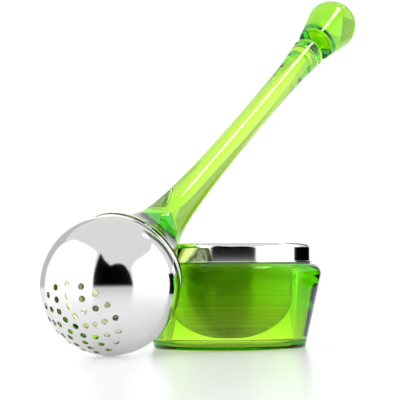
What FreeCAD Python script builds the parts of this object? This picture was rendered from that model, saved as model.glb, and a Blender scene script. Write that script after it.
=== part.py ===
"""Ball tea infuser with a solid clear handle, resting against its drip stand.

Millimetres, +Z up.  The origin is the centre of the stand's flat underside.
The ball rests on the same surface as the stand, and the handle leans back over
the stand's collar ring.  The infuser is drawn in its own frame first, with the
ball's centre as origin and +Z along the handle, and is then laid in place.
"""
import FreeCAD, Part
import math
import os

# ---- driving dimensions -------------------------------------------------

# ball and strainer
BALL_R = 22.5            # outer radius of the perforated ball
SHEET = 0.6              # thickness of the drawn steel sheet
HOLE_R = 1.07            # radius of a strainer hole
HOLE_RINGS = [           # holes in the ring, angle from the pole, bearing of the first hole
    (5, 10.0, 71.1),
    (8, 18.0, 43.3),
    (12, 26.3, 28.1),
    (16, 35.5, 20.7),
]
STRAINER_TOP = 12.0      # the ball is cut open at this height
BEAD_R = 0.45            # half thickness of the rolled rim bead

# coupling ring: screws into the bell, and the ball's rim slides over its spigot
RING_GAP = 0.1           # gap on each side of the coupling ring's flange
FLANGE_Z = STRAINER_TOP + 2 * BEAD_R + RING_GAP
COUPLING_FLANGE_H = 0.5
COUPLING_FLANGE_R = 19.0
SPIGOT_R = 18.05
SPIGOT_INNER_R = 16.9
SPIGOT_Z = 10.2
SKIRT_R = 16.2
SKIRT_INNER_R = 15.4
SKIRT_H = 1.6

# handle: bell and slim stem, one solid clear moulding
BELL_RIM_R = 19.1
BELL_RIM_Z = FLANGE_Z + COUPLING_FLANGE_H + RING_GAP
BELL_SEAT_R = SKIRT_R + 0.08
BELL_APEX_Z = 38.5       # top of the conical cavity in the bell
HANDLE_OUTLINE = [       # radius and height along the bell and the stem
    (16.6, 16.6),
    (11.5, 25.0),
    (8.55, 33.0),
    (6.85, 42.0),
    (5.75, 55.0),
    (4.95, 75.0),
    (4.62, 105.0),
    (4.7, 128.0),
    (5.08, 142.0),
    (6.1, 156.2),
]
HANDLE_END_Z = 159.0
HANDLE_END_R = 4.2       # flat left on the rounded end of the stem

# neck and knob
NECK_R = 3.02
NECK_Z = (151.0, 172.9)
GLUE = 0.02              # radial glue line round the neck and the collar
KNOB_R = 9.75
KNOB_Z = 180.5           # centre of the knob's ball end
KNOB_CONE = 11.0         # half angle of the knob's skirt, in degrees
KNOB_FACE_R = 6.85
KNOB_FACE_Z = 164.9
KNOB_CHAMFER = 0.4
KNOB_COLLAR_R = 5.7      # thin clear washer set in the knob's face
KNOB_COLLAR_H = 0.5

# stand
STAND_TOP_Z = 29.0
STAND_WIDE_R = 31.95     # widest radius, under the shoulder
STAND_FOOT_R = 26.4
SHOULDER_R = 3.2
FOOT_EDGE_R = 0.8
WIDE_Z = 24.8            # height of the widest radius
BORE_R = 23.6            # straight bore that the bowl hangs in
BASE_H = 1.0             # thickness of the base plate
INNER_FILLET_R = 3.6     # between the bore and the base plate

# drip bowl and collar ring
BOWL_R = 21.9
BOWL_BOTTOM_Z = 5.6
BOWL_CURVE_H = 14.0      # height of the elliptical part of the bowl
FLANGE_R = 27.0
GASKET_H = 0.4
GASKET_R = (24.0, 28.2)
RING_R = 28.3
RING_TOP_Z = 36.1
RING_T = 1.0
RING_EDGE_R = 1.8
RING_FOOT_R = 28.9
RING_FOOT_H = 0.5
RING_MOUTH_R = 22.0
RING_LIP_Z = 30.7        # lower edge of the lip inside the mouth

# where the infuser lies
BALL_XY = (-39.0, -48.25)
LEAN = 33.4              # degrees that the handle rises above level
HEADING = 32.6           # degrees that it turns from +Y towards +X

TINY = 0.05              # glue line between the stand's base plate and its wall


# ---- drawing helpers ----------------------------------------------------

def at(r, z):
    return FreeCAD.Vector(r, 0, z)


def line(a, b):
    return Part.LineSegment(at(*a), at(*b)).toShape()


def arc(a, middle, b):
    return Part.Arc(at(*a), at(*middle), at(*b)).toShape()


def smooth(points):
    """One interpolated curve through the points."""
    curve = Part.BSplineCurve()
    curve.interpolate([at(*p) for p in points])
    return curve.toShape()


def path(*points):
    """Straight edges from each point to the next."""
    return [line(a, b) for a, b in zip(points, points[1:])]


def lathe(edges):
    """Solid of revolution about Z from the edges of a closed outline."""
    face = Part.Face(Part.Wire(Part.__sortEdges__(edges)))
    return face.revolve(FreeCAD.Vector(0, 0, 0), FreeCAD.Vector(0, 0, 1), 360)


def turned(*corners):
    """Solid of revolution with straight sides."""
    return lathe(path(*corners, corners[0]))


def tube(r_in, r_out, z0, z1):
    return turned((r_in, z0), (r_out, z0), (r_out, z1), (r_in, z1))


def rod(r, z0, z1):
    return Part.makeCylinder(r, z1 - z0, FreeCAD.Vector(0, 0, z0))


def on_circle(r, z):
    """Radius of a sphere of radius r at height z from its centre."""
    return math.sqrt(r * r - z * z)


def round_corner(centre, r, start_deg, end_deg):
    """Arc of a profile about a centre, by its angles from the +R axis."""
    def point(deg):
        a = math.radians(deg)
        return (centre[0] + r * math.cos(a), centre[1] + r * math.sin(a))
    return arc(point(start_deg), point((start_deg + end_deg) / 2), point(end_deg))


def laid(shape):
    """Moves a shape from the infuser's own frame to where the infuser lies."""
    heading = FreeCAD.Rotation(FreeCAD.Vector(0, 0, 1), -HEADING)
    lean = FreeCAD.Rotation(FreeCAD.Vector(1, 0, 0), -(90 - LEAN))
    place = FreeCAD.Placement(FreeCAD.Vector(*BALL_XY, BALL_R), heading.multiply(lean))
    shape.Placement = place.multiply(shape.Placement)
    return shape


# ---- the ball -----------------------------------------------------------

def hole_directions():
    """Unit vectors from the ball's centre through each strainer hole."""
    yield FreeCAD.Vector(0, 0, -1)
    for count, polar, first in HOLE_RINGS:
        b = math.radians(polar)
        for k in range(count):
            a = math.radians(first + 360.0 * k / count)
            yield FreeCAD.Vector(math.sin(b) * math.cos(a), math.sin(b) * math.sin(a), -math.cos(b))


def strainer_bowl():
    inner = BALL_R - SHEET
    top = STRAINER_TOP
    shell = lathe([
        arc((0, -BALL_R), (BALL_R, 0), (on_circle(BALL_R, top), top)),
        line((on_circle(BALL_R, top), top), (on_circle(inner, top), top)),
        arc((on_circle(inner, top), top), (inner, 0), (0, -inner)),
        line((0, -inner), (0, -BALL_R)),
    ])
    drills = [Part.makeCylinder(HOLE_R, 4 * SHEET, d * (BALL_R - 2.5 * SHEET), d)
              for d in hole_directions()]
    return shell.cut(drills)


def strainer_rim():
    middle = (on_circle(BALL_R, STRAINER_TOP) + on_circle(BALL_R - SHEET, STRAINER_TOP)) / 2
    low, high = STRAINER_TOP, STRAINER_TOP + 2 * BEAD_R
    inner, outer = middle - SHEET / 2, middle + SHEET / 2
    return lathe([
        line((inner, low), (outer, low)),
        arc((outer, low), (outer + BEAD_R / 2, low + BEAD_R), (outer, high)),
        line((outer, high), (inner, high)),
        arc((inner, high), (inner - BEAD_R / 2, low + BEAD_R), (inner, low)),
    ])


# ---- the coupling ring --------------------------------------------------

def coupling_ring():
    """Clear ring: spigot for the ball below, flange between them, threaded skirt above."""
    flange_top = FLANGE_Z + COUPLING_FLANGE_H
    return turned(
        (SPIGOT_INNER_R, SPIGOT_Z),
        (SPIGOT_R - 0.3, SPIGOT_Z),
        (SPIGOT_R, SPIGOT_Z + 0.5),
        (SPIGOT_R, FLANGE_Z),
        (COUPLING_FLANGE_R, FLANGE_Z),
        (COUPLING_FLANGE_R, flange_top),
        (SKIRT_R, flange_top),
        (SKIRT_R, flange_top + SKIRT_H),
        (SKIRT_INNER_R, flange_top + SKIRT_H),
        (SKIRT_INNER_R, FLANGE_Z),
    )


# ---- the handle ---------------------------------------------------------

def handle_blank():
    """The bell and the stem as one solid, with its rounded end."""
    shoulder_r = HANDLE_OUTLINE[-1][0]
    knuckle = (shoulder_r - 0.35, HANDLE_END_Z - 0.75)
    return lathe([
        line((0, BELL_RIM_Z), (BELL_RIM_R, BELL_RIM_Z)),
        smooth([(BELL_RIM_R, BELL_RIM_Z)] + HANDLE_OUTLINE),
        arc(HANDLE_OUTLINE[-1], knuckle, (HANDLE_END_R, HANDLE_END_Z)),
        line((HANDLE_END_R, HANDLE_END_Z), (0, HANDLE_END_Z)),
        line((0, HANDLE_END_Z), (0, BELL_RIM_Z)),
    ])


def bell_cavity():
    """Cutter for the seat of the coupling ring and the cone above it."""
    below, seat_top = BELL_RIM_Z - 1.0, BELL_RIM_Z + SKIRT_H + RING_GAP
    return turned((0, below), (BELL_SEAT_R, below), (BELL_SEAT_R, seat_top), (0, BELL_APEX_Z))


def handle_body():
    socket = rod(NECK_R + GLUE, NECK_Z[0], HANDLE_END_Z + 1)
    return handle_blank().cut([bell_cavity(), socket])


def neck_dowel():
    """Pale clear dowel that joins the handle's end to the knob."""
    return rod(NECK_R, *NECK_Z)


def knob():
    """Ball-ended knob with a coned skirt and a recess for the collar in its face."""
    cone = math.radians(KNOB_CONE)
    meet = (KNOB_R * math.cos(cone), KNOB_Z - KNOB_R * math.sin(cone))
    edge = (KNOB_FACE_R + KNOB_CHAMFER * math.tan(cone), KNOB_FACE_Z + KNOB_CHAMFER)
    face_r = KNOB_FACE_R - KNOB_CHAMFER
    body = lathe([
        line((0, KNOB_FACE_Z), (face_r, KNOB_FACE_Z)),
        line((face_r, KNOB_FACE_Z), edge),
        line(edge, meet),
        arc(meet, (KNOB_R * math.cos(0.8), KNOB_Z + KNOB_R * math.sin(0.8)), (0, KNOB_Z + KNOB_R)),
        line((0, KNOB_Z + KNOB_R), (0, KNOB_FACE_Z)),
    ])
    recess = rod(KNOB_COLLAR_R + GLUE, KNOB_FACE_Z - 1, KNOB_FACE_Z + KNOB_COLLAR_H)
    socket = rod(NECK_R + GLUE, KNOB_FACE_Z - 1, NECK_Z[1] + 0.1)
    return body.cut([recess, socket])


def knob_collar():
    return tube(NECK_R + GLUE, KNOB_COLLAR_R, KNOB_FACE_Z, KNOB_FACE_Z + KNOB_COLLAR_H)


# ---- the stand ----------------------------------------------------------

def stand_shell():
    """Thick clear wall: rounded foot, tapered side, rounded shoulder and filleted bore."""
    foot_c = (STAND_FOOT_R - FOOT_EDGE_R, FOOT_EDGE_R)
    wide = (STAND_WIDE_R, WIDE_Z)
    turn = (STAND_WIDE_R - 0.21 * SHOULDER_R, STAND_TOP_Z - 0.42 * SHOULDER_R)
    edge = (STAND_WIDE_R - SHOULDER_R, STAND_TOP_Z)
    fillet_c = (BORE_R - INNER_FILLET_R, BASE_H + INNER_FILLET_R)
    return lathe([
        round_corner(foot_c, FOOT_EDGE_R, -90, 0),
        line((STAND_FOOT_R, FOOT_EDGE_R), wide),
        arc(wide, turn, edge),
        *path(edge, (BORE_R, STAND_TOP_Z), (BORE_R, fillet_c[1])),
        round_corner(fillet_c, INNER_FILLET_R, -90, 0),
        *path((fillet_c[0], BASE_H), (fillet_c[0], 0), (foot_c[0], 0)),
    ])


def base_plate():
    """Thin clear disc bonded inside the filleted foot of the bore."""
    return rod(BORE_R - INNER_FILLET_R - TINY, 0, BASE_H)


def seat_gasket():
    return tube(GASKET_R[0], GASKET_R[1], STAND_TOP_Z, STAND_TOP_Z + GASKET_H)


def bowl_curve(r, bottom):
    """Quarter of an ellipse from the bowl's wall down to its centre."""
    turn_z = BOWL_BOTTOM_Z + BOWL_CURVE_H
    steps = 12
    points = []
    for k in range(steps + 1):
        a = math.pi / 2 * k / steps
        points.append((r * math.cos(a), turn_z - (turn_z - bottom) * math.sin(a)))
    points[-1] = (0, bottom)
    curve = Part.BSplineCurve()
    curve.interpolate(Points=[at(*p) for p in points],
                      InitialTangent=FreeCAD.Vector(0, 0, -1), FinalTangent=FreeCAD.Vector(-1, 0, 0))
    return curve.toShape()


def drip_bowl():
    """Drawn steel bowl with a flange that sits on the gasket."""
    turn_z = BOWL_BOTTOM_Z + BOWL_CURVE_H
    inner_r = BOWL_R - SHEET
    low = STAND_TOP_Z + GASKET_H
    high = low + SHEET
    return lathe([
        bowl_curve(BOWL_R, BOWL_BOTTOM_Z),
        bowl_curve(inner_r, BOWL_BOTTOM_Z + SHEET),
        line((0, BOWL_BOTTOM_Z), (0, BOWL_BOTTOM_Z + SHEET)),
        *path((BOWL_R, turn_z), (BOWL_R, low), (FLANGE_R, low), (FLANGE_R, high)),
        *path((FLANGE_R, high), (inner_r, high), (inner_r, turn_z)),
    ])


def collar_ring():
    """Polished steel cap ring: outer wall with a small foot, rounded top and inner lip."""
    low = STAND_TOP_Z + GASKET_H
    foot_top = low + RING_FOOT_H
    round_z = RING_TOP_Z - RING_EDGE_R
    outer_c = (RING_R - RING_EDGE_R, round_z)
    inner_c = (RING_MOUTH_R + RING_EDGE_R, round_z)
    wall_in, lip_in = RING_R - RING_T, RING_MOUTH_R + RING_T
    hollow = RING_EDGE_R - RING_T
    under_top = RING_TOP_Z - RING_T
    return lathe([
        *path((wall_in, low), (RING_FOOT_R, low), (RING_FOOT_R, foot_top), (RING_R, foot_top)),
        line((RING_R, foot_top), (RING_R, round_z)),
        round_corner(outer_c, RING_EDGE_R, 0, 90),
        line((outer_c[0], RING_TOP_Z), (inner_c[0], RING_TOP_Z)),
        round_corner(inner_c, RING_EDGE_R, 90, 180),
        *path((RING_MOUTH_R, round_z), (RING_MOUTH_R, RING_LIP_Z), (lip_in, RING_LIP_Z), (lip_in, round_z)),
        round_corner(inner_c, hollow, 180, 90),
        line((inner_c[0], under_top), (outer_c[0], under_top)),
        round_corner(outer_c, hollow, 90, 0),
        line((wall_in, round_z), (wall_in, low)),
    ])


# ---- export -------------------------------------------------------------

STAND_PARTS = [stand_shell, base_plate, seat_gasket, drip_bowl, collar_ring]
INFUSER_PARTS = [handle_body, neck_dowel, knob, knob_collar, coupling_ring, strainer_bowl, strainer_rim]

os.makedirs("parts", exist_ok=True)
for make in STAND_PARTS:
    make().exportStep("parts/" + make.__name__ + ".step")
for make in INFUSER_PARTS:
    laid(make()).exportStep("parts/" + make.__name__ + ".step")
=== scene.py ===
"""Looks of the ball tea infuser and its drip stand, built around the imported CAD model.

The clear pieces and the steel ones are lathed again here, finely, on the CAD model's own
dimensions, because refraction and mirror reflections show every facet.  Clear pieces that
are bonded together are one body here, because light passes a bond as if it weren't there.
The gasket keeps its CAD mesh.
Millimetres are turned into metres where the meshes are made.
"""
import math

import bmesh
import bpy
from mathutils import Matrix, Vector


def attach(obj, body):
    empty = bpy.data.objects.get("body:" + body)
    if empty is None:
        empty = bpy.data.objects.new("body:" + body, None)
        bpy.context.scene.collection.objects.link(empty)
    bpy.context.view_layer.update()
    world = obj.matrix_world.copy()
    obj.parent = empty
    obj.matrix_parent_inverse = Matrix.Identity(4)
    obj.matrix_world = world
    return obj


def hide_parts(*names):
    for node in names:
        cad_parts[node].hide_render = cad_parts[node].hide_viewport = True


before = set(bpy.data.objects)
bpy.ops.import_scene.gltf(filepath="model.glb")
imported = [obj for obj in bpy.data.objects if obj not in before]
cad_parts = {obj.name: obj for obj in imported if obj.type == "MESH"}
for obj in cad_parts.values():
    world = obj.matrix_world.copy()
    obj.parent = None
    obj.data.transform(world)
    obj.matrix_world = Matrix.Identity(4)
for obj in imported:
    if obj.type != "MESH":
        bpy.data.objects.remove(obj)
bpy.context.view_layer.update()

MM = 0.001
SEGMENTS = 192           # steps round every lathed piece
SHARP_DEG = 28           # an edge that turns by more than this is a crease
ON_AXIS = 1e-6           # millimetres: a profile point nearer than this is on the axis
ON_SPHERE = 2e-6         # metres: a vertex nearer than this to a sphere is on it
DRILL_SEGMENTS = 40      # steps round a strainer hole
INSIDE_MARGIN = 0.01     # millimetres: how far out a face may be and still be the ball's inside

# ---- dimensions of the CAD model, in millimetres --------------------------

BALL_R = 22.5
SHEET = 0.6              # thickness of the steel
HOLE_R = 1.07
# holes in the ring, degrees from the pole, bearing of the first hole
HOLE_RINGS = [(5, 10.0, 71.1), (8, 18.0, 43.3), (12, 26.3, 28.1), (16, 35.5, 20.7)]
STRAINER_TOP = 12.0      # height of the ball's mouth above its centre
BEAD_R = 0.45            # rolled rim round the mouth
BALL_AT = (-39.0, -48.25, BALL_R)
LEAN = 33.4              # degrees of the infuser's axis above the floor
HEADING = 32.6           # degrees it is turned about the vertical

FLANGE_Z = 13.0          # coupling ring
FLANGE_TOP_Z = 13.5
COUPLING_FLANGE_R = 19.0
SPIGOT_R = 18.05
SPIGOT_INNER_R = 16.9
SPIGOT_Z = 10.2
SPIGOT_LEAD = (0.3, 0.5)  # width and height of the spigot's chamfer
SKIRT_R = 16.2
SKIRT_INNER_R = 15.4
SKIRT_TOP_Z = 15.1

BELL_RIM = (19.1, 13.6)
BELL_SEAT_R = 16.28
BELL_SEAT_Z = 15.3
BELL_APEX_Z = 38.5
# radius and height along the stem, from the bell up
HANDLE_OUTLINE = [
    (16.6, 16.6), (11.5, 25.0), (8.55, 33.0), (6.85, 42.0), (5.75, 55.0),
    (4.95, 75.0), (4.62, 105.0), (4.7, 128.0), (5.08, 142.0), (6.1, 156.2),
]
HANDLE_END = (4.2, 159.0)
KNUCKLE = (0.35, 0.75)   # how far in and down the stem's rounded end passes its corner
NECK_R = 3.02
KNOB_R = 9.75
KNOB_Z = 180.5
KNOB_FACE = (6.85, 164.9)
KNOB_CONE_DEG = 11.0
KNOB_CHAMFER = 0.4
KNOB_COLLAR_R = 5.7
GROOVE = (0.12, 0.25)    # width and depth of the fine line round the knob's collar

STAND_TOP_Z = 29.0
STAND_WIDE_R = 31.95
STAND_FOOT_R = 26.4
SHOULDER_R = 3.2
SHOULDER_TURN = (0.21, 0.42)  # how far in and down its arc passes, in shares of its radius
FOOT_EDGE_R = 0.8
WIDE_Z = 24.8
BORE_R = 23.6
BASE_H = 1.0             # thickness of the base plate
INNER_FILLET_R = 3.6     # between the bore and the base plate

BOWL_R = 21.9
BOWL_BOTTOM_Z = 5.6
BOWL_CURVE_H = 14.0
BOWL_FLANGE = (27.0, 29.4, 30.0)      # radius, bottom and top
RING_R = 28.3
RING_TOP_Z = 36.1
RING_T = 1.0             # thickness of the ring's wall
RING_EDGE_R = 1.8
RING_FOOT = (28.9, 29.4, 29.9)        # radius, bottom and top
RING_FOOT_BEVEL = 0.15
RING_MOUTH_R = 22.0
RING_LIP_Z = 30.7

IN_HAND = (
    Matrix.Translation(Vector(BALL_AT) * MM)
    @ Matrix.Rotation(math.radians(-HEADING), 4, "Z")
    @ Matrix.Rotation(math.radians(LEAN - 90), 4, "X")
)


# ---- profiles -------------------------------------------------------------

def arc(centre, r, start_deg, end_deg, steps=10):
    """Points of a circular arc in the profile plane, by angles from the +R axis."""
    points = []
    for k in range(steps + 1):
        a = math.radians(start_deg + (end_deg - start_deg) * k / steps)
        points.append((centre[0] + r * math.cos(a), centre[1] + r * math.sin(a)))
    return points


def run(a, b, steps):
    """Evenly spaced points of a straight stretch, both ends included."""
    return [(a[0] + (b[0] - a[0]) * k / steps, a[1] + (b[1] - a[1]) * k / steps)
            for k in range(steps + 1)]


def bulge(a, middle, b, steps=10):
    """Points of the circular arc through three points."""
    ax, ay, mx, my, bx, by = *a, *middle, *b
    d = 2 * (ax * (my - by) + mx * (by - ay) + bx * (ay - my))
    sa, sm, sb = ax**2 + ay**2, mx**2 + my**2, bx**2 + by**2
    cx = (sa * (my - by) + sm * (by - ay) + sb * (ay - my)) / d
    cy = (sa * (bx - mx) + sm * (ax - bx) + sb * (mx - ax)) / d
    start, end = (math.degrees(math.atan2(p[1] - cy, p[0] - cx)) for p in (a, b))
    turn = (end - start + 180) % 360 - 180
    return arc((cx, cy), math.dist((cx, cy), a), start, start + turn, steps)


def spline(knots, per_span=10):
    """A smooth interpolated curve through the knots: a natural cubic by chord length."""
    t = [0.0]
    for a, b in zip(knots, knots[1:]):
        t.append(t[-1] + math.dist(a, b))
    bends = [natural_bends(t, [k[axis] for k in knots]) for axis in (0, 1)]
    points = []
    for i in range(len(knots) - 1):
        for k in range(per_span):
            u = t[i] + (t[i + 1] - t[i]) * k / per_span
            points.append(tuple(on_span(t, [p[axis] for p in knots], bends[axis], i, u)
                                for axis in (0, 1)))
    return points + [knots[-1]]


def natural_bends(t, y):
    """Second derivatives of the natural cubic spline through (t, y)."""
    n = len(t)
    upper, value = [0.0] * n, [0.0] * n
    for i in range(1, n - 1):
        left, right = t[i] - t[i - 1], t[i + 1] - t[i]
        slope = (y[i + 1] - y[i]) / right - (y[i] - y[i - 1]) / left
        pivot = 2 * (left + right) - left * upper[i - 1]
        upper[i] = right / pivot
        value[i] = (6 * slope - left * value[i - 1]) / pivot
    for i in range(n - 2, 0, -1):
        value[i] -= upper[i] * value[i + 1]
    return value


def on_span(t, y, bend, i, u):
    """Value at u of the cubic on span i, from its end values and second derivatives."""
    h = t[i + 1] - t[i]
    a, b = (t[i + 1] - u) / h, (u - t[i]) / h
    return a * y[i] + b * y[i + 1] + ((a**3 - a) * bend[i] + (b**3 - b) * bend[i + 1]) * h * h / 6


# ---- meshes ---------------------------------------------------------------

def lathe(name, profile, place=Matrix.Identity(4)):
    """Closed solid of revolution about Z from a profile that ends on the axis or closes on itself."""
    bm = bmesh.new()
    rings = []
    for r, z in profile:
        if r < ON_AXIS:
            rings.append([bm.verts.new((0, 0, z * MM))])
            continue
        rings.append([bm.verts.new((r * MM * math.cos(2 * math.pi * k / SEGMENTS),
                                    r * MM * math.sin(2 * math.pi * k / SEGMENTS), z * MM))
                      for k in range(SEGMENTS)])
    closed = len(rings[0]) > 1
    for a, b in zip(rings, rings[1:] + ([rings[0]] if closed else [])):
        for k in range(SEGMENTS):
            j = (k + 1) % SEGMENTS
            if len(a) == 1 and len(b) == 1:
                continue
            if len(a) == 1:
                bm.faces.new((a[0], b[j], b[k]))
            elif len(b) == 1:
                bm.faces.new((a[k], a[j], b[0]))
            else:
                bm.faces.new((a[k], a[j], b[j], b[k]))
    return finished(name, bm, place)


def finished(name, bm, place):
    """Object from a bmesh: outward normals, smooth faces, creases kept sharp."""
    bmesh.ops.recalc_face_normals(bm, faces=bm.faces)
    mesh = bpy.data.meshes.new(name)
    bm.to_mesh(mesh)
    bm.free()
    mesh.transform(place)
    for face in mesh.polygons:
        face.use_smooth = True
    mesh.set_sharp_from_angle(angle=math.radians(SHARP_DEG))
    obj = bpy.data.objects.new(name, mesh)
    bpy.context.scene.collection.objects.link(obj)
    return obj


def hole_directions():
    """Unit vectors from the ball's centre through each strainer hole."""
    yield Vector((0, 0, -1))
    for count, polar, first in HOLE_RINGS:
        b = math.radians(polar)
        for k in range(count):
            a = math.radians(first + 360.0 * k / count)
            yield Vector((math.sin(b) * math.cos(a), math.sin(b) * math.sin(a), -math.cos(b)))


def drills():
    """The cutters of all the strainer's holes, as one object."""
    bm = bmesh.new()
    for d in hole_directions():
        turn = d.to_track_quat("Z", "Y").to_matrix().to_4x4()
        bmesh.ops.create_cone(bm, cap_ends=True, segments=DRILL_SEGMENTS, radius1=HOLE_R * MM,
                              radius2=HOLE_R * MM, depth=5 * SHEET * MM,
                              matrix=Matrix.Translation(d * (BALL_R - SHEET / 2) * MM) @ turn)
    return finished("drills", bm, Matrix.Identity(4))


def drilled(shell, cutter):
    """The shell's mesh with the cutter taken out of it."""
    cut = shell.modifiers.new("cut", "BOOLEAN")
    cut.object, cut.operation, cut.solver = cutter, "DIFFERENCE", "EXACT"
    whole = bpy.context.evaluated_depsgraph_get()
    mesh = bpy.data.meshes.new_from_object(shell.evaluated_get(whole))
    shell.modifiers.clear()
    bpy.data.objects.remove(cutter)
    return mesh


def ball_shell():
    """The perforated ball: a lathed shell with its holes drilled through."""
    inner = BALL_R - SHEET
    end_out = math.degrees(math.asin(STRAINER_TOP / BALL_R))
    end_in = math.degrees(math.asin(STRAINER_TOP / inner))
    outside = arc((0, 0), BALL_R, -90, end_out, 96)
    inside = arc((0, 0), inner, end_in, -90, 80)
    outside[0], inside[-1] = (0.0, -BALL_R), (0.0, -inner)
    shell = lathe("strainer_ball", outside + inside)
    shell.data = drilled(shell, drills())
    true_normals(shell.data, BALL_R * MM, inner * MM)
    # the inner sphere gets satin steel whose dark colour is painted shade inside the ball
    inside_satin_and_shade(shell.data, inner)
    shell.data.transform(IN_HAND)
    return shell


def inside_satin_and_shade(mesh, inner):
    """Gives the faces on the inner sphere the second material: satin steel darkened as painted shade
    inside the ball.
    """
    for face in mesh.polygons:
        radii = [mesh.vertices[v].co.length for v in face.vertices]
        face.material_index = 1 if max(radii) < (inner + INSIDE_MARGIN) * MM else 0


def true_normals(mesh, outer, inner):
    """Gives the faces on the two spheres the spheres' own normals; drilled walls keep theirs."""
    normals = []
    for face in mesh.polygons:
        radii = [mesh.vertices[v].co.length for v in face.vertices]
        for v in face.vertices:
            co = mesh.vertices[v].co
            if min(radii) > outer - ON_SPHERE:
                normals.append(co.normalized())
            elif max(radii) < inner + ON_SPHERE:
                normals.append(-co.normalized())
            else:
                normals.append(face.normal)
    mesh.normals_split_custom_set(normals)


# ---- pieces ---------------------------------------------------------------

def handle_clear():
    """Bell, stem, neck and knob as one clear body with the bell's conical cavity."""
    shoulder = HANDLE_OUTLINE[-1]
    outline = spline([BELL_RIM] + HANDLE_OUTLINE, 12)
    knuckle = bulge(shoulder, (shoulder[0] - KNUCKLE[0], HANDLE_END[1] - KNUCKLE[1]), HANDLE_END)
    face_r, face_z = KNOB_FACE
    neck = run((NECK_R, HANDLE_END[1]), (NECK_R, face_z), 6)
    width, depth = GROOVE
    groove = [(KNOB_COLLAR_R, face_z), (KNOB_COLLAR_R, face_z + depth),
              (KNOB_COLLAR_R + width, face_z + depth), (KNOB_COLLAR_R + width, face_z)]
    cone = math.radians(KNOB_CONE_DEG)
    skirt = [(face_r - KNOB_CHAMFER, face_z),
             (face_r + KNOB_CHAMFER * math.tan(cone), face_z + KNOB_CHAMFER)]
    ball = arc((0, KNOB_Z), KNOB_R, -KNOB_CONE_DEG, 90, 48)
    ball[-1] = (0.0, KNOB_Z + KNOB_R)
    cavity = [(0.0, BELL_APEX_Z), (BELL_SEAT_R, BELL_SEAT_Z), (BELL_SEAT_R, BELL_RIM[1])]
    whole = cavity + outline + knuckle[1:] + neck + groove + skirt + ball
    return lathe("handle_clear", whole, IN_HAND)


def coupling_clear():
    """Clear ring between ball and bell: spigot, flange and the skirt inside the bell."""
    lead_w, lead_h = SPIGOT_LEAD
    profile = [
        (SPIGOT_INNER_R, SPIGOT_Z), (SPIGOT_R - lead_w, SPIGOT_Z), (SPIGOT_R, SPIGOT_Z + lead_h),
        (SPIGOT_R, FLANGE_Z), (COUPLING_FLANGE_R, FLANGE_Z), (COUPLING_FLANGE_R, FLANGE_TOP_Z),
        (SKIRT_R, FLANGE_TOP_Z), (SKIRT_R, SKIRT_TOP_Z), (SKIRT_INNER_R, SKIRT_TOP_Z),
        (SKIRT_INNER_R, FLANGE_Z),
    ]
    return lathe("coupling_clear", profile, IN_HAND)


def stand_clear():
    """Wall and base plate, which are bonded, as one thick cup with a filleted bore."""
    foot = arc((STAND_FOOT_R - FOOT_EDGE_R, FOOT_EDGE_R), FOOT_EDGE_R, -90, 0, 8)
    wide = (STAND_WIDE_R, WIDE_Z)
    turn = (STAND_WIDE_R - SHOULDER_TURN[0] * SHOULDER_R, STAND_TOP_Z - SHOULDER_TURN[1] * SHOULDER_R)
    edge = (STAND_WIDE_R - SHOULDER_R, STAND_TOP_Z)
    side = run((STAND_FOOT_R, FOOT_EDGE_R), wide, 12)
    fillet_c = (BORE_R - INNER_FILLET_R, BASE_H + INNER_FILLET_R)
    bore = [(BORE_R, STAND_TOP_Z)] + arc(fillet_c, INNER_FILLET_R, 0, -90, 16) + [(0.0, BASE_H)]
    return lathe("stand_clear", [(0.0, 0.0)] + foot + side[1:] + bulge(wide, turn, edge, 14)[1:] + bore)


def bowl_side(r, bottom, steps=48):
    """Points of the bowl's elliptical bottom, from the centre up to its straight wall."""
    turn_z = BOWL_BOTTOM_Z + BOWL_CURVE_H
    points = []
    for k in range(steps + 1):
        a = math.pi / 2 * (1 - k / steps)
        points.append((r * math.cos(a), turn_z - (turn_z - bottom) * math.sin(a)))
    points[0] = (0.0, bottom)
    return points


def bowl_turned():
    """Drawn bowl: elliptical bottom, straight wall and flange, of one thickness."""
    edge, low, high = BOWL_FLANGE
    outside = bowl_side(BOWL_R, BOWL_BOTTOM_Z) + [(BOWL_R, low), (edge, low), (edge, high)]
    inner_r = BOWL_R - SHEET
    inside = [(inner_r, high)] + list(reversed(bowl_side(inner_r, BOWL_BOTTOM_Z + SHEET)))
    return lathe("bowl_turned", outside + inside)


def ring_polished():
    """Cap ring over the bowl's flange: a small foot, rounded top edges and an inner lip."""
    foot_r, low, foot_top = RING_FOOT
    outer = (RING_R - RING_EDGE_R, RING_TOP_Z - RING_EDGE_R)
    inner = (RING_MOUTH_R + RING_EDGE_R, RING_TOP_Z - RING_EDGE_R)
    hollow = RING_EDGE_R - RING_T
    wall_in, lip_in = RING_R - RING_T, RING_MOUTH_R + RING_T
    bevel = RING_FOOT_BEVEL
    profile = [(wall_in, low), (foot_r - bevel, low), (foot_r, low + bevel), (foot_r, foot_top - bevel),
               (foot_r - bevel, foot_top), (RING_R, foot_top)]
    profile += arc(outer, RING_EDGE_R, 0, 90, 14) + arc(inner, RING_EDGE_R, 90, 180, 14)
    profile += [(RING_MOUTH_R, RING_LIP_Z), (lip_in, RING_LIP_Z)]
    profile += arc(inner, hollow, 180, 90, 6) + arc(outer, hollow, 90, 0, 6)
    return lathe("ring_polished", profile)


def rim_bead():
    """Bead rolled round the mouth of the ball."""
    middle = (math.sqrt(BALL_R**2 - STRAINER_TOP**2)
              + math.sqrt((BALL_R - SHEET)**2 - STRAINER_TOP**2)) / 2
    low, high = STRAINER_TOP, STRAINER_TOP + 2 * BEAD_R
    inner, outer = middle - SHEET / 2, middle + SHEET / 2
    profile = bulge((outer, low), (outer + BEAD_R / 2, low + BEAD_R), (outer, high))
    profile += bulge((inner, high), (inner - BEAD_R / 2, low + BEAD_R), (inner, low))
    return lathe("rim_bead", profile, IN_HAND)


# ---- materials ------------------------------------------------------------

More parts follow.
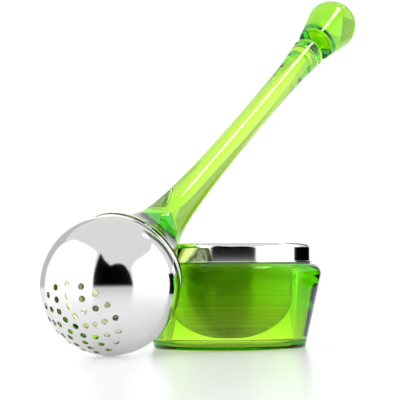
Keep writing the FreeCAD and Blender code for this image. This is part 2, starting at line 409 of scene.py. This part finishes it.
TURNING_PER_M = 900      # scale of the noise that makes the turning lines
TURNING_SPREAD = (0.35, 0.65)         # of the noise, from the darkest lines to plain steel
TURNING_DARK = 0.72      # the darkest lines, in shares of the steel's own colour
ACRYLIC_IOR = 1.49
SILICONE_IOR = 1.41


def material(name):
    """Empty Principled material, with its shader and output nodes."""
    mat = bpy.data.materials.new(name)
    mat.use_nodes = True
    nodes = mat.node_tree.nodes
    nodes.clear()
    out = nodes.new("ShaderNodeOutputMaterial")
    shader = nodes.new("ShaderNodeBsdfPrincipled")
    mat.node_tree.links.new(shader.outputs[0], out.inputs["Surface"])
    return mat, shader, out


def clear_plastic(name, tint, density, gleam=(1, 1, 1)):
    """Transparent acrylic: its colour deepens with thickness, and gleam tints its reflections."""
    mat, shader, out = material(name)
    shader.inputs["Base Color"].default_value = (1, 1, 1, 1)
    shader.inputs["Roughness"].default_value = 0.0
    shader.inputs["IOR"].default_value = ACRYLIC_IOR
    shader.inputs["Specular Tint"].default_value = (*gleam, 1)
    shader.inputs["Transmission Weight"].default_value = 1.0
    depth = mat.node_tree.nodes.new("ShaderNodeVolumeAbsorption")
    depth.inputs["Color"].default_value = (*tint, 1)
    depth.inputs["Density"].default_value = density
    mat.node_tree.links.new(depth.outputs[0], out.inputs["Volume"])
    return mat


def steel(name, colour, roughness):
    """Plain steel: bright where roughness is low, satin where it is high."""
    mat, shader, out = material(name)
    shader.inputs["Base Color"].default_value = (*colour, 1)
    shader.inputs["Metallic"].default_value = 1.0
    shader.inputs["Roughness"].default_value = roughness
    return mat


def turned_steel(name, colour, roughness):
    """Steel turned about Z: fine rings of unequal depth and tone, and reflections drawn across them."""
    mat = steel(name, colour, roughness)
    nodes, links = mat.node_tree.nodes, mat.node_tree.links
    shader = nodes["Principled BSDF"]
    shader.inputs["Anisotropic"].default_value = 1.0
    shader.inputs["Anisotropic Rotation"].default_value = 0.25
    around = nodes.new("ShaderNodeTangent")
    around.direction_type, around.axis = "RADIAL", "Z"
    links.new(around.outputs[0], shader.inputs["Tangent"])
    where = nodes.new("ShaderNodeTexCoord")
    squeeze = nodes.new("ShaderNodeMapping")
    squeeze.inputs["Scale"].default_value = (0, 0, 1)
    lines = nodes.new("ShaderNodeTexNoise")
    lines.inputs["Scale"].default_value = TURNING_PER_M
    lines.inputs["Detail"].default_value = 4.0
    bump = nodes.new("ShaderNodeBump")
    bump.inputs["Strength"].default_value = 0.3
    bump.inputs["Distance"].default_value = 0.0002
    links.new(where.outputs["Object"], squeeze.inputs[0])
    links.new(squeeze.outputs[0], lines.inputs["Vector"])
    tone = nodes.new("ShaderNodeMapRange")
    tone.inputs["From Min"].default_value, tone.inputs["From Max"].default_value = TURNING_SPREAD
    shade = nodes.new("ShaderNodeMix")
    shade.data_type = "RGBA"
    shade.inputs["A"].default_value = (*(TURNING_DARK * c for c in colour), 1)
    shade.inputs["B"].default_value = (*colour, 1)
    links.new(lines.outputs["Fac"], tone.inputs["Value"])
    links.new(tone.outputs[0], shade.inputs["Factor"])
    links.new(shade.outputs["Result"], shader.inputs["Base Color"])
    links.new(lines.outputs["Fac"], bump.inputs["Height"])
    links.new(bump.outputs[0], shader.inputs["Normal"])
    return mat


def soft(name, colour, transmission):
    """Clouded clear rubber."""
    mat, shader, out = material(name)
    shader.inputs["Base Color"].default_value = (*colour, 1)
    shader.inputs["Roughness"].default_value = 0.25
    shader.inputs["IOR"].default_value = SILICONE_IOR
    shader.inputs["Transmission Weight"].default_value = transmission
    return mat


# colour left by the plastic's absorption, and its density per metre
GREEN = clear_plastic("green_acrylic", (0.78, 0.965, 0.0), 260)
STAND_GREEN = clear_plastic("stand_acrylic", (0.745, 0.955, 0.0), 380, (0.35, 0.6, 0.03))
RING_GREEN = clear_plastic("ring_acrylic", (0.70, 0.94, 0.0), 400)
STEEL_BRIGHT = steel("polished_steel", (0.80, 0.80, 0.80), 0.09)
STEEL_RING = steel("ring_steel", (0.80, 0.80, 0.80), 0.1)
# the ball's inside: satin steel, rougher than the outside, with its colour darkened far below steel's own
# as painted shade inside the ball
STEEL_INSIDE_SHADED = steel("satin_steel_painted_shade", (0.15, 0.16, 0.12), 0.35)
STEEL_TURNED = turned_steel("turned_steel", (0.99, 0.99, 0.96), 0.5)
SILICONE = soft("clear_silicone", (0.93, 0.96, 0.90), 0.8)


def dress(piece, body, mats, slot, *nodes):
    """Gives a new piece its materials and its body, and hides the CAD nodes that it stands for."""
    piece.data.materials.clear()
    for mat in mats if isinstance(mats, tuple) else (mats,):
        piece.data.materials.append(mat)
    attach(piece, body)
    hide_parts(*nodes)
    return piece


dress(handle_clear(), "handle", GREEN, "green_acrylic", "handle_body", "neck_dowel", "knob", "knob_collar")
dress(coupling_clear(), "coupling", RING_GREEN, "green_acrylic", "coupling_ring")
dress(stand_clear(), "stand", STAND_GREEN, "green_acrylic", "stand_shell", "base_plate")
dress(bowl_turned(), "stand", STEEL_TURNED, "turned_steel", "drip_bowl")
dress(ring_polished(), "stand", STEEL_RING, "polished_steel", "collar_ring")
dress(ball_shell(), "strainer", (STEEL_BRIGHT, STEEL_INSIDE_SHADED), "polished_steel", "strainer_bowl")
dress(rim_bead(), "strainer", STEEL_BRIGHT, "polished_steel", "strainer_rim")

KEPT = {"seat_gasket": SILICONE}
for node, mat in KEPT.items():
    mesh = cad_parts[node].data
    mesh.materials.clear()
    mesh.materials.append(mat)
    for face in mesh.polygons:
        face.use_smooth = True
    mesh.set_sharp_from_angle(angle=math.radians(SHARP_DEG))


# ---- studio ---------------------------------------------------------------

SKY = 0.85               # brightness of the white surround
LIGHT_BOUNCES = 40       # light turns many times inside the thick clear pieces
FLOOR_HALF = 6.0         # metres from the middle of the floor to its edge
FLOOR_GAP = 0.00002      # metres, so that the floor and the foot don't share a plane
SENSOR_MM = 36
LENS_MM = 162
CAMERA_AT = (-0.0101, -0.6265, 0.0311)
CAMERA_UP_DEG = 1.846    # above level
CAMERA_ROLL_DEG = 0.5


def away(azimuth_deg, elevation_deg, distance_m):
    """Point seen from the ball's centre at an azimuth from the camera's side and an elevation."""
    a, e = math.radians(azimuth_deg), math.radians(elevation_deg)
    d = Vector((math.sin(a) * math.cos(e), -math.cos(a) * math.cos(e), math.sin(e)))
    return Vector(BALL_AT) * MM + d * distance_m


def glow(name, brightness):
    """Material that only shines."""
    mat, shader, out = material(name)
    nodes, links = mat.node_tree.nodes, mat.node_tree.links
    nodes.remove(shader)
    light = nodes.new("ShaderNodeEmission")
    light.inputs["Strength"].default_value = brightness
    links.new(light.outputs[0], out.inputs["Surface"])
    return mat


def screen(name, outline, distance_m, brightness, through=True):
    """A sheet hung round the set, its outline in degrees of azimuth and elevation from the ball.

    Only light and reflections see it; brightness 0 makes it a black flag.  One that isn't
    seen through the clear pieces only shows in reflections."""
    bm = bmesh.new()
    bm.faces.new([bm.verts.new(away(az, el, distance_m)) for az, el in outline])
    obj = finished(name, bm, Matrix.Identity(4))
    obj.data.materials.append(glow(name, brightness))
    obj.visible_camera = False
    obj.visible_transmission = through
    return obj


def block(azimuths, elevations, steps=6):
    """Outline of a screen between two azimuths and two elevations."""
    (a0, a1), (e0, e1) = azimuths, elevations
    low = [(a0 + (a1 - a0) * k / steps, e0) for k in range(steps + 1)]
    high = [(a1 + (a0 - a1) * k / steps, e1) for k in range(steps + 1)]
    return low + high


def gleam_light(name, azimuths, elevations, distance_m, brightness):
    """A softbox that only mirror-smooth plastic reflects; to the steel it is as bright as the sky."""
    obj = screen(name, block(azimuths, elevations, 4), distance_m, brightness, through=False)
    nodes, links = obj.active_material.node_tree.nodes, obj.active_material.node_tree.links
    path = nodes.new("ShaderNodeLightPath")
    only = nodes.new("ShaderNodeMath")
    only.operation = "MULTIPLY_ADD"
    only.inputs[1].default_value = brightness - SKY
    only.inputs[2].default_value = SKY
    links.new(path.outputs["Is Singular Ray"], only.inputs[0])
    links.new(only.outputs[0], nodes["Emission"].inputs["Strength"])
    return obj


def floor():
    """Plain white floor with a faint gloss, a hair under the object."""
    bm = bmesh.new()
    bmesh.ops.create_grid(bm, x_segments=1, y_segments=1, size=FLOOR_HALF)
    obj = finished("floor", bm, Matrix.Translation((0, 0, -FLOOR_GAP)))
    mat, shader, out = material("floor")
    shader.inputs["Base Color"].default_value = (0.8, 0.8, 0.8, 1)
    shader.inputs["Roughness"].default_value = 0.25
    shader.inputs["Specular IOR Level"].default_value = 0.3
    shader.inputs["Emission Color"].default_value = (1, 1, 1, 1)
    shader.inputs["Emission Strength"].default_value = 0.22
    obj.data.materials.append(mat)


def upright(name, start, end, height, brightness):
    """A low sheet that stands on the floor between two points, in metres."""
    bm = bmesh.new()
    corners = [(*start, 0.0), (*end, 0.0), (*end, height), (*start, height)]
    bm.faces.new([bm.verts.new(c) for c in corners])
    obj = finished(name, bm, Matrix.Identity(4))
    obj.data.materials.append(glow(name, brightness))
    obj.visible_camera = False
    return obj


def sky():
    """Even white light from all round."""
    world = bpy.data.worlds.new("studio")
    world.use_nodes = True
    world.node_tree.nodes["Background"].inputs["Color"].default_value = (1, 1, 1, 1)
    world.node_tree.nodes["Background"].inputs["Strength"].default_value = SKY
    bpy.context.scene.world = world


def camera():
    """Long lens, low and nearly level."""
    data = bpy.data.cameras.new("camera")
    data.sensor_width = SENSOR_MM
    data.lens = LENS_MM
    data.clip_start = 0.01
    obj = bpy.data.objects.new("camera", data)
    bpy.context.scene.collection.objects.link(obj)
    obj.location = CAMERA_AT
    obj.rotation_euler = (math.radians(90 + CAMERA_UP_DEG), math.radians(CAMERA_ROLL_DEG), 0)
    bpy.context.scene.camera = obj


# outlines of screens, as azimuth and elevation in degrees from the ball
DOORWAY = [(-23, 0.9), (-24.5, 3), (-24, 20), (-22, 42), (-20, 54), (-8, 42), (4, 33), (12, 36), (22, 36),
           (30, 32), (36, 20), (39.5, 3), (38, 0.9)]
SOFTBOX_LEFT = [(-127, -1), (-132, 28), (-119, 47), (-95, 56), (-69, 59), (-45, 58), (-28, 53), (-26, 30),
                (-26, -1)]
SOFTBOX_RIGHT = [(41, -1), (41, 27), (52, 36), (75, 40), (100, 40), (124, 40), (122, 20), (119, -1)]

floor()
sky()
camera()
screen("dark_doorway", DOORWAY, 0.9, 0.0)
screen("softbox_left", SOFTBOX_LEFT, 1.0, 1.7)
screen("softbox_right", SOFTBOX_RIGHT, 1.0, 1.7)
screen("backdrop", block((158, 202), (-4, 22), 10), 2.0, 1.2).visible_camera = True
screen("grey_left", block((-170, -132), (-2, 34), 8), 1.1, 0.6)
screen("grey_right", block((140, 153), (8, 40), 8), 1.1, 0.15, through=False)
screen("skirting", block((-25, 40), (-2, 0.9), 8), 0.91, 0.3)
screen("strip_right", block((105, 109), (0, 28), 2), 0.95, 12)
screen("strip_left", block((-47, -45), (0, 25), 2), 0.95, 8)
screen("spot_right", block((133, 137), (43, 47), 2), 0.95, 25)
gleam_light("gleam_top", (60, 120), (58, 68), 0.95, 14)
upright("flag_right", (0.10, 0.0), (0.13, 0.22), 0.05, 0.0).visible_transmission = False
bpy.context.scene.view_settings.view_transform = "Standard"
bpy.context.scene.cycles.max_bounces = LIGHT_BOUNCES
bpy.context.scene.cycles.transmission_bounces = LIGHT_BOUNCES
